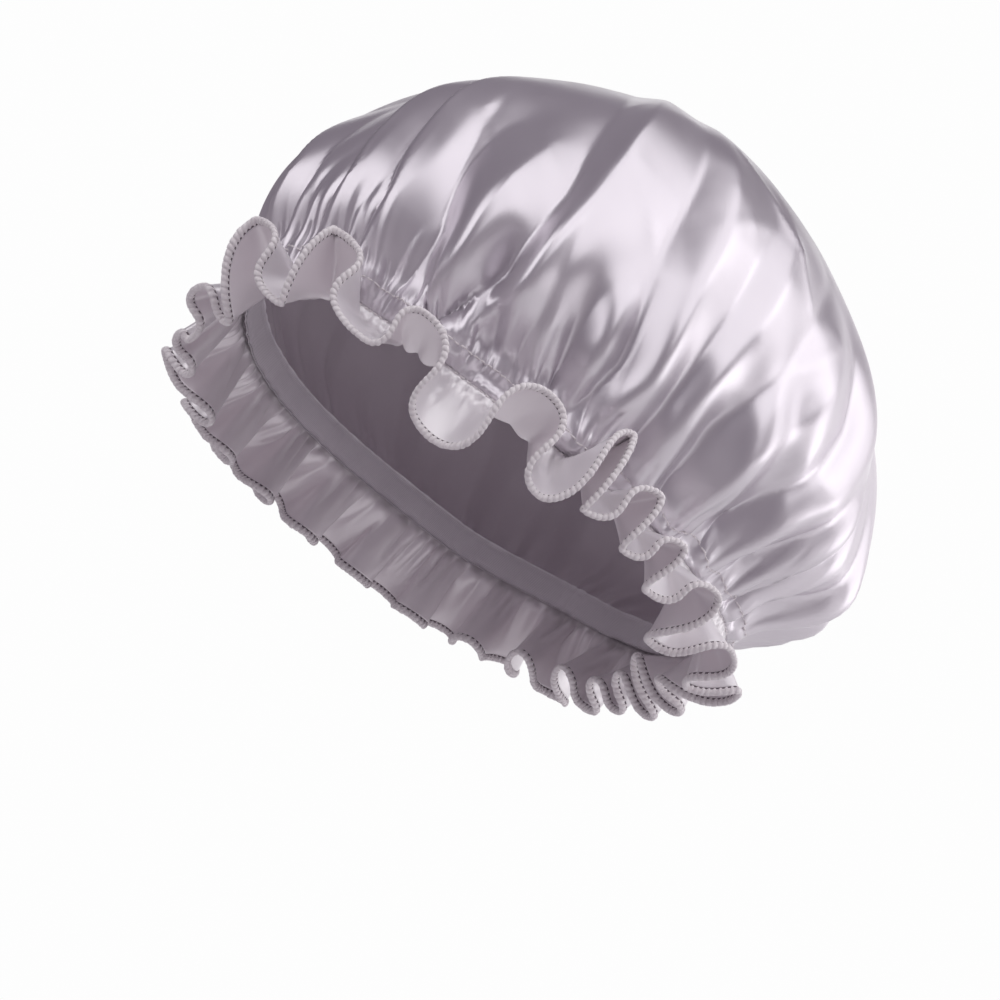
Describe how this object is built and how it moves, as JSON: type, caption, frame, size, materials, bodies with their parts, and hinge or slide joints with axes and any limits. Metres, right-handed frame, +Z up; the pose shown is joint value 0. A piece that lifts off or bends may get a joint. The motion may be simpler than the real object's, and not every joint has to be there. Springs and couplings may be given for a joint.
{
  "type": "shower cap",
  "caption": "Gathered shower cap in its worn shape: doubled satin crown, elastic casing and a frilled edge with an overlocked bead.",
  "frame": {"origin": "centre of the egg-shaped opening, in the middle of the elastic's loop, with the cap as it is worn", "axes": "+Z up along the wearer's head, +X to the wearer's left, +Y to the back of the head; the brow is at -Y and the opening plane is tilted 43.7 degrees, its front raised"},
  "size_m": [0.2111, 0.2452, 0.2159],
  "materials": {
    "satin": "glossy silver-lilac polyester satin",
    "lining": "the same satin with its duller face showing",
    "thread": "matt spun thread, overlocked",
    "elastic": "matt knitted elastic",
    "tape": "plain woven lilac tape"
  },
  "bodies": {
    "root": {"crown_shell": "satin", "crown_lining": "lining", "frill_shell": "satin", "frill_lining": "lining", "overlock_edge": "thread", "elastic_band": "elastic", "casing_tape": "tape"}
  },
  "joints": []
}
